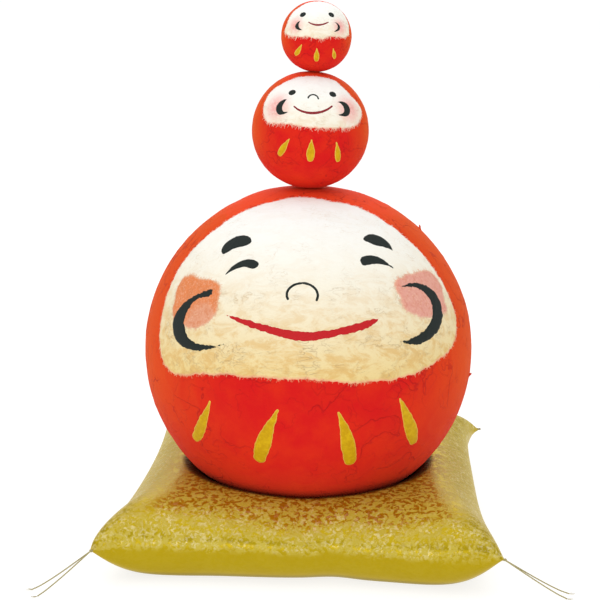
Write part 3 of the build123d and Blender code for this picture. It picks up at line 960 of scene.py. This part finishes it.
def cheek_sheet(side, inner, outer, inner_place, reach):
    """One dyed cheek; inner_place (lon, lat) is where its first colour is strongest."""
    ball = BALLS["large"]
    node_name = "large_cheek_" + side
    base = film_height("large_face_paper", ball)
    ragged = ((0.5, 4.0), (0.25, 1.2))
    points, faces, values = torn_patch(node_name, ball, base, 1.0, ragged, (200, 1.3, 0.2, 1.0))
    spot = ball.centre + ball.place(*inner_place) * ball.radius
    dyed = cheek_washi("cheek_washi_" + side, inner, outer, spot, reach)
    add_mesh("large_cheek_sheet_" + side, points, faces, ball.body, dyed, [node_name], values)


STROKES = {
    "eyebrows": "brow_ink",
    "eyes": "eye_ink",
    "nose": "nose_ink",
    "mouth": "mouth_paint",
    "beard": "beard_ink",
    "marks": "mark_paint",
}


def brushed(ball, feature, material, spacing, ragged, depth=0.12, swell=0.0):
    """Strokes in the outlines of a CAD feature: marks on the red paper, the rest on the face.

    swell widens a hair line on each side."""
    node_name = f"{ball.doll}_{feature}"
    base = 0.0 if feature == "marks" else film_height(ball.doll + "_face_paper", ball)
    thickness = film_height(node_name, ball) - base
    feather = 4 * thickness
    parts = []
    for k, loop in enumerate(outer_loops(node_name, ball)):
        chart = Chart(ball, loop.mean(0))
        outline = torn(chart.flat(loop), spacing / 2, ragged, ball.seed + 3 * k)
        outline = outline + swell * outline_normals(outline)
        measure = stroke_measure(outline)
        parts.append(film(chart, outline, spacing, base, thickness, feather, depth, None, measure))
    points, faces, values = merge(parts)
    piece = f"{ball.doll}_{STROKES[feature]}"
    add_mesh(piece, points, faces, ball.body, material, [node_name], values)


def blush_stains(ball, reach, share):
    """Soft pink spots outside each curl of the beard."""
    stains = []
    for loop in outer_loops(ball.doll + "_beard", ball):
        middle = unit(loop.mean(0))
        outward = math.copysign(1, middle @ ball.across)
        stains.append((unit(middle + 0.16 * outward * ball.across + 0.06 * ball.axis), reach, share))
    return stains


def large_face():
    """Face, cheeks and marks of the large doll."""
    ball = BALLS["large"]
    ragged = ((0.5, 9.0), (0.4, 2.5), (0.25, 0.9))
    face_sheet("large", 1.0, 1.7, ragged, (600, 1.5, 0.2, 1.0))
    cheek_sheet("left", CHEEK_ROSE, CHEEK_ORANGE, (-37, 19.5), 11.0)
    cheek_sheet("right", CHEEK_PINK, CHEEK_CORAL, (51, 28), 22.0)
    ink = brush_ink("brush_ink", INK)
    dry_ink = brush_ink("dry_brush_ink", INK, 8.0)
    vermilion = brush_ink("brush_vermilion", VERMILION)
    rough = ((0.10, 1.6), (0.05, 0.5))
    brushed(ball, "eyebrows", ink, 0.7, rough)
    brushed(ball, "eyes", ink, 0.6, rough)
    brushed(ball, "nose", ink, 0.4, ((0.05, 0.8),), swell=0.12)
    brushed(ball, "mouth", vermilion, 0.7, ((0.3, 2.0), (0.1, 0.6)))
    brushed(ball, "beard", dry_ink, 0.7, ((0.3, 1.6), (0.12, 0.5)), depth=0.3)
    gold = gold_paint()
    brushed(ball, "marks", gold, 0.8, ((0.2, 3.0), (0.1, 1.0)))
    crimson = brush_ink("brush_crimson", DARK_CRIMSON)
    for doll, spacing in (("middle", 0.4), ("small", 0.3)):
        little_face(doll, spacing, ink, crimson, gold)


def little_face(doll, spacing, ink, crimson, gold):
    """Face and marks of one of the upper dolls."""
    ball = BALLS[doll]
    stains = blush_stains(ball, 0.36 * ball.radius, 0.85)
    hairs = (int(700 * ball.scale + 160), 1.3 * ball.scale + 0.45, 0.17, 2.2)
    face_sheet(doll, 0.4, 3 * spacing, ((0.2, 2.5), (0.3, 0.9), (0.15, 0.4)), hairs, stains)
    smooth = ((0.04, 0.8),)
    brushed(ball, "eyes", ink, spacing, smooth)
    brushed(ball, "beard", ink, spacing, smooth)
    brushed(ball, "mouth", crimson, spacing, smooth)
    brushed(ball, "marks", gold, spacing, ((0.1, 1.2),))
    if doll == "middle":
        brushed(ball, "nose", ink, 0.2, ((0.02, 0.8),), swell=0.06)


# ------------------------------------------------------------------ cushion


def cushion_tips():
    """The four corner tips of the CAD cushion by their (x, y) signs."""
    points = cad_triangles("cushion_cover")[0]
    return {
        (sx, sy): points[(points[:, 0] * sx + points[:, 1] * sy).argmax()]
        for sx in (-1, 1)
        for sy in (-1, 1)
    }


def side_profile(t, other, power, corner):
    """Share of the full thickness across the cushion: level, then a full round side.

    other is the place along the side. The power is how square the side is in its middle,
    and corner how much squarer it is at its ends."""
    return np.sqrt(1 - np.abs(t) ** (power + corner * other**4))


def fullness(u, v, power, corner):
    """Share of the full thickness at a place from (-1, -1) to (1, 1)."""
    sides = side_profile(u, v, power, corner) * side_profile(v, u, power, corner)
    return sides * (1 - np.abs(u * v) ** (6 + corner))


def bump(x, middle, width):
    """Rounded bump of height one."""
    return np.exp(-(((x - middle) / width) ** 2))


def ball_pocket(x, y, gap):
    """Height of a surface the given gap under the large doll."""
    ball = BALLS["large"]
    out = np.hypot(x - ball.centre[0], y - ball.centre[1])
    reach = ball.radius + gap
    round_part = ball.centre[2] - np.sqrt(np.clip(reach**2 - out**2, 0, None))
    return np.where(out < reach, np.maximum(round_part, ball.centre[2] - ball.flat - gap), 1e3)


def softly_lower(a, b, width):
    """The lower of two heights, with a rounded turn between them."""
    low, high = np.minimum(a, b), np.maximum(a, b)
    return low - width * np.log1p(np.exp(-(high - low) / width))


def folds(x, entries):
    """Sum of folds along x, from entries of depth, middle and width."""
    return sum(depth * bump(x, middle, width) for depth, middle, width in entries)


def plan_of(u, v, tips):
    """Places seen from above: spread between the tips, with the sides drawn in."""
    x, y = 0, 0
    for (sx, sy), tip in tips.items():
        share = (1 + sx * u) * (1 + sy * v) / 4
        x, y = x + share * tip[0], y + share * tip[1]
    from_left = SIDE_PULL["left"] * (1 - v**2) + folds(v, LEFT_BULGE)
    from_right = SIDE_PULL["right"] * np.where(v > 0, 1 - np.abs(v) ** 6, 1 - np.abs(v) ** 3)
    from_back = SIDE_PULL["back"] * (1 - u**2)
    # The front side swings out and in, with one deep fold a little right of its middle.
    from_front = SIDE_PULL["front"] * (1 - u**2) + folds(u, FRONT_SWAY) * (1 - u**12)
    from_front = from_front + folds(u, FRONT_FOLD)
    x = x + np.where(u < 0, from_left, -from_right) * np.abs(u)
    y = y + np.where(v < 0, from_front, -from_back) * np.abs(v)
    return x, y


def closed_grid(count):
    """Faces of two square grids that share their rim, and a mask of the points inside it."""
    ids = np.arange(count * count).reshape(count, count)
    inside = np.ones_like(ids, bool)
    inside[[0, -1]] = inside[:, [0, -1]] = False
    low_ids = ids.copy()
    low_ids[inside] = count * count + np.arange(inside.sum())
    faces = []
    for i in range(count - 1):
        for j in range(count - 1):
            a, b, c, d = (i, j), (i + 1, j), (i + 1, j + 1), (i, j + 1)
            faces.append([ids[a], ids[b], ids[c], ids[d]])
            faces.append([low_ids[d], low_ids[c], low_ids[b], low_ids[a]])
    return faces, inside


def plump_form(count=72):
    """The cushion before it is filled tight: points and faces of a closed form."""
    tips = cushion_tips()
    seam_z = np.mean([tip[2] for tip in tips.values()])
    top_z = node_box("cushion_cover")[1][2]
    t = np.sin(np.linspace(-math.pi / 2, math.pi / 2, count))
    u, v = np.meshgrid(t, t, indexing="ij")
    x, y = plan_of(u, v, tips)
    top = seam_z + (top_z - seam_z) * fullness(u, v, 4.2, 9)
    # Three shallow creases run back from the front edge.
    top = top - folds(u, TOP_CREASES) * bump(v, -0.82, 0.16)
    top = softly_lower(top, ball_pocket(x, y, POCKET_GAP), 1.1)
    low = np.maximum(seam_z - (seam_z + 1.5) * fullness(u, v, 9, 2), 0.0)
    faces, inside = closed_grid(count)
    lean = FRONT_LEAN * np.where(v < 0, np.abs(v) ** 3, 0) * (top - seam_z) / (top_z - seam_z)
    upper = np.column_stack([x.ravel(), (y + lean).ravel(), top.ravel()])
    lower = np.column_stack([x[inside], y[inside], low[inside]])
    return np.vstack([upper, lower]), faces


def apply_modifier(obj, modifier):
    """Make a modifier's result the piece's own mesh."""
    with bpy.context.temp_override(object=obj, active_object=obj, selected_objects=[obj]):
        bpy.ops.object.modifier_apply(modifier=modifier.name)


def vertex_array(obj):
    """A piece's points in millimetres."""
    co = np.empty(len(obj.data.vertices) * 3)
    obj.data.vertices.foreach_get("co", co)
    return co.reshape(-1, 3) / MM


def set_vertices(obj, points):
    """Move a piece's points; places in millimetres."""
    obj.data.vertices.foreach_set("co", (points * MM).ravel())
    obj.data.update()


def inflate(obj, cap):
    """Blow the closed form up as cloth; no point moves more than the cap."""
    before = vertex_array(obj)
    modifier = obj.modifiers.new("cloth", "CLOTH")
    settings = modifier.settings
    settings.use_pressure = True
    settings.uniform_pressure_force = 4.0
    settings.tension_stiffness = 25
    settings.compression_stiffness = 8
    settings.bending_stiffness = 0.3
    settings.effector_weights.gravity = 0.0
    scene = bpy.context.scene
    modifier.point_cache.frame_start, modifier.point_cache.frame_end = 1, CLOTH_FRAMES
    for number in range(1, CLOTH_FRAMES + 1):
        scene.frame_set(number)
    apply_modifier(obj, modifier)
    scene.frame_set(1)
    moved = vertex_array(obj) - before
    size = np.linalg.norm(moved, axis=1)
    set_vertices(obj, before + moved * np.minimum(1, cap / np.maximum(size, 1e-9))[:, None])


def relax(obj, rounds):
    """Even the form out so that its sides are round, but leave the corners sharp."""
    pairs = np.array([edge.vertices for edge in obj.data.edges])
    pairs = np.vstack([pairs, pairs[:, ::-1]])
    points = vertex_array(obj)
    near_tip = [np.linalg.norm(points - tip, axis=1) for tip in cushion_tips().values()]
    share = smoothstep((np.min(near_tip, axis=0) - 4) / 16)[:, None]
    count = np.bincount(pairs[:, 0])[:, None]
    for _ in range(rounds):
        total = np.zeros_like(points)
        np.add.at(total, pairs[:, 0], points[pairs[:, 1]])
        points = points + 0.5 * share * (total / count - points)
    set_vertices(obj, points)


def settle(points):
    """Keep the cushion on the table, under the doll and inside its CAD space."""
    low, high = node_box("cushion_cover")
    points = np.clip(points, (low[0], low[1], 0.0), high)
    pocket = ball_pocket(points[:, 0], points[:, 1], POCKET_GAP)
    points[:, 2] = np.minimum(points[:, 2], np.maximum(pocket, 0.0))
    return points


def cushion():
    """The cushion in its brocade, filled tight under the large doll."""
    points, faces = plump_form()
    replaced = ["cushion_cover", "cushion_filling"]
    obj = add_mesh("cushion_brocade", points, faces, "cushion", brocade(), replaced)
    inflate(obj, MOST_SWELL)
    relax(obj, 10)
    set_vertices(obj, settle(vertex_array(obj)))
    subdivision = obj.modifiers.new("finer", "SUBSURF")
    subdivision.levels = subdivision.render_levels = 1
    apply_modifier(obj, subdivision)
    set_vertices(obj, settle(vertex_array(obj)))
    obj.data.polygons.foreach_set("use_smooth", [True] * len(obj.data.polygons))
    return obj


# ------------------------------------------------------------------ threads


def square_to(path):
    """Two unit vectors square to a path at each of its points."""
    heading = unit_rows(np.gradient(path, axis=0))
    side = unit_rows(np.cross(heading, (0.1, 0.2, 1.0)))
    return side, np.cross(heading, side)


def tube(path, radius, sides=6):
    """Closed round tube along a path."""
    side, other = square_to(path)
    angle = np.arange(sides) * 2 * math.pi / sides
    sideways = np.cos(angle)[None, :, None] * side[:, None]
    ring = sideways + np.sin(angle)[None, :, None] * other[:, None]
    points = (path[:, None] + radius * ring).reshape(-1, 3)
    faces = []
    for i in range(len(path) - 1):
        for k in range(sides):
            j = (k + 1) % sides
            one, two = i * sides, (i + 1) * sides
            faces.append([one + k, one + j, two + j, two + k])
    faces.append(list(range(sides))[::-1])
    faces.append([(len(path) - 1) * sides + k for k in range(sides)])
    return points, faces, {}


def two_ply(path, radius, pitch):
    """Two thin plies twisted round a path."""
    side, other = square_to(path)
    along = np.r_[0, np.cumsum(np.linalg.norm(np.diff(path, axis=0), axis=1))]
    plies = []
    for start in (0, math.pi):
        angle = (along / pitch * 2 * math.pi + start)[:, None]
        ply = path + radius * (np.cos(angle) * side + np.sin(angle) * other)
        plies.append(tube(ply, radius * 1.05, 6))
    return plies


def strand_ends(name, knot):
    """Where the two strands of a CAD thread end on the table, and the way they run."""
    points = cad_triangles(name)[0] - knot
    size = np.hypot(points[:, 0], points[:, 1])
    heading = unit(points[size > 0.85 * size.max(), :2].mean(0))
    side = heading[0] * points[:, 1] - heading[1] * points[:, 0]
    ends = []
    for sign in (1, -1):
        mine = np.where(side * sign > 0, size, 0)
        ends.append(points[mine.argmax()] + knot)
    return ends, heading


def corner_thread(corner, signs, tip, gold):
    """Knot of twisted thread at a tip, its two strands and their frayed ends."""
    knot = tip + np.array((signs[0], signs[1], 0)) * KNOT_OUT
    ends, heading = strand_ends("corner_thread_" + corner, knot)
    turn = np.linspace(0, 2 * math.pi, 60)
    loop = np.column_stack([
        (0.5 + 0.25 * np.cos(3 * turn)) * np.cos(2 * turn),
        (0.5 + 0.25 * np.cos(3 * turn)) * np.sin(2 * turn),
        0.3 * np.sin(3 * turn),
    ])
    parts = [tube(knot + loop, 0.2, 7)]
    aside = np.array((-heading[1], heading[0], 0))
    for k, end in enumerate(ends):
        end = np.array((end[0], end[1], THREAD_LOW))
        half = knot * 0.5 + end * 0.5 + aside * (0.4 if k else -0.2)
        half[2] = 0.47 * knot[2]
        last = knot * 0.18 + end * 0.82 + aside * (0.3 if k else -0.2)
        last[2] = 0.16 * knot[2]
        path = curve_through([knot, half, last, end], 110)
        parts += two_ply(path, 0.17, 1.5)
        parts += frayed_end(path[-1], unit(path[-1] - path[-6]), 11 * k + len(corner))
    points, faces, _ = merge(parts)
    add_mesh("thread_" + corner, points, faces, "cushion", gold, ["corner_thread_" + corner])


def frayed_end(start, heading, seed):
    """Loose fine fibres at the end of a strand."""
    picker = np.random.default_rng(seed)
    hairs = []
    for _ in range(5):
        spread = picker.normal(0, 0.25, 3) * (1, 1, 0.15)
        reach = picker.uniform(1.5, 3.0)
        end = start + unit(heading * (1, 1, 0) + spread) * reach
        end[2] = max(end[2], THREAD_LOW)
        bend = (start + end) / 2 + spread * 0.8
        bend[2] = max(bend[2], THREAD_LOW)
        hairs.append(tube(curve_through([start, bend, end], 8), 0.06, 4))
    return hairs


def threads(cover):
    """A knotted thread at each corner of the cushion's finished cover."""
    gold = thread_silk("gold_thread_silk", THREAD)
    points = vertex_array(cover)
    for sx, sy in cushion_tips():
        tip = points[(points[:, 0] * sx + points[:, 1] * sy).argmax()]
        corner = ("front" if sy < 0 else "back") + ("_left" if sx < 0 else "_right")
        corner_thread(corner, (sx, sy), tip, gold)


def closing_stitches(cover):
    """Slanted hand stitches that close the back side."""
    low, high = node_box("closing_stitches")
    silk = thread_silk("stitch_silk", SILK_FIGURE)
    parts = []
    for x in np.linspace(low[0] + 1.2, high[0] - 1.2, STITCHES):
        target = Vector(np.array((x, high[1] + 3, (low[2] + high[2]) / 2)) * MM)
        _, spot, normal, _ = cover.closest_point_on_mesh(target)
        spot, normal = np.array(spot) / MM, np.array(normal)
        slant = unit(np.array((0.82, 0, 0.57)))
        under = spot - normal * 0.1
        stitch = [under - slant * 1.5, spot + normal * 0.3, under + slant * 1.5]
        parts.append(tube(curve_through(stitch, 12), 0.2, 6))
    points, faces, _ = merge(parts)
    add_mesh("back_stitches", points, faces, "cushion", silk, ["closing_stitches"])


# ------------------------------------------------------------------ hidden CAD parts


def cad_materials():
    """Materials for the CAD nodes that stay shown, by their slot in the record."""
    made = {
        "pulp_board": speckled("pulp_board_look", BOARD, BOARD_DARK, 1.2, 0.9, 0.15),
        "joint_paper": speckled("joint_paper_look", LINING, LINING_DARK, 2.0, 0.85, 0.06),
        "clay": speckled("clay_look", CLAY, CLAY_DARK, 1.6, 0.9, 0.2),
        "softwood": wood("softwood_look", SOFTWOOD, SOFTWOOD_DARK, 2.4, 0.6),
        "bamboo": wood("bamboo_look", BAMBOO, BAMBOO_DARK, 0.9, 0.45),
        "red_paper": speckled("base_paper_look", RED_BRIGHT, RED_DARK, 2.0, 0.75, 0.08),
    }
    for part in frame["record"]["subparts"]:
        obj = frame["nodes"][part["node"]]
        if not obj.hide_render:
            obj.data.materials.clear()
            obj.data.materials.append(made[part["material_slot"]])


# ------------------------------------------------------------------ studio


def soft_light(name, place, aim, size, power):
    """Square area light aimed at a point; places in millimetres."""
    data = bpy.data.lights.new(name, "AREA")
    data.shape = "SQUARE"
    data.size = size * MM
    data.energy = power
    obj = add_object(name, data)
    obj.location = Vector(place) * MM
    obj.rotation_euler = (Vector(aim) - Vector(place)).to_track_quat("-Z", "Y").to_euler()


def floor():
    """Plain white table that glows a little, so that it stays white far from the lights."""
    bpy.ops.mesh.primitive_plane_add(size=30.0, location=(0, 0, 0))
    obj = bpy.context.object
    obj.name = "studio_floor"
    look = Look("studio_white", (0.33, 0.33, 0.33))
    soft = look.clouds(400.0)
    look.tint(soft, (0.35, 0.35, 0.35))
    glow = {"Emission_Color": (1, 1, 1, 1), "Emission_Strength": FLOOR_GLOW}
    obj.data.materials.append(look.finish(0.9, soft, 0.01, Specular_IOR_Level=0.0, **glow))
    obj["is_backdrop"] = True


def world():
    """White surroundings: full white to the camera, softer as light."""
    made = bpy.data.worlds.new("studio_world")
    made.use_nodes = True
    tree = made.node_tree
    tree.nodes.clear()
    strength = Value(tree, "LightPath", "Is Camera Ray").step(0.0, 1.0, AMBIENT, 1.0)
    back = Value(tree, "Background", 0, {"Color": (1, 1, 1, 1), "Strength": strength})
    node(tree, "OutputWorld", {0: back})
    bpy.context.scene.world = made


def camera():
    """Camera in front of the dolls, at their upper half, looking slightly down."""
    data = bpy.data.cameras.new("camera")
    data.lens = CAMERA_LENS
    data.sensor_width = 36.0
    data.clip_start, data.clip_end = 0.01, 20.0
    obj = add_object("camera", data)
    obj.location = Vector(CAMERA_PLACE) * MM
    obj.rotation_euler = (math.radians(CAMERA_TILT), 0, math.radians(CAMERA_TURN))
    bpy.context.scene.camera = obj


def studio():
    """Floor, surroundings, lights and camera."""
    floor()
    world()
    middle = (0, 0, 110)
    soft_light("overhead", (-60, -100, 850), middle, 1000, 2.4)
    soft_light("back", (0, 700, 480), middle, 700, 1.3)
    soft_light("front", (-200, -900, 80), (0, 0, 60), 700, 2.1)
    bpy.context.scene.view_settings.view_transform = "Standard"
    camera()


# ------------------------------------------------------------------ the scene


large_skin()
middle_skin()
small_skin()
large_face()
cover = cushion()
threads(cover)
closing_stitches(cover)
cad_materials()
studio()

[[list(corner) for corner in box] for box in (CAD_BOX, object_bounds())]
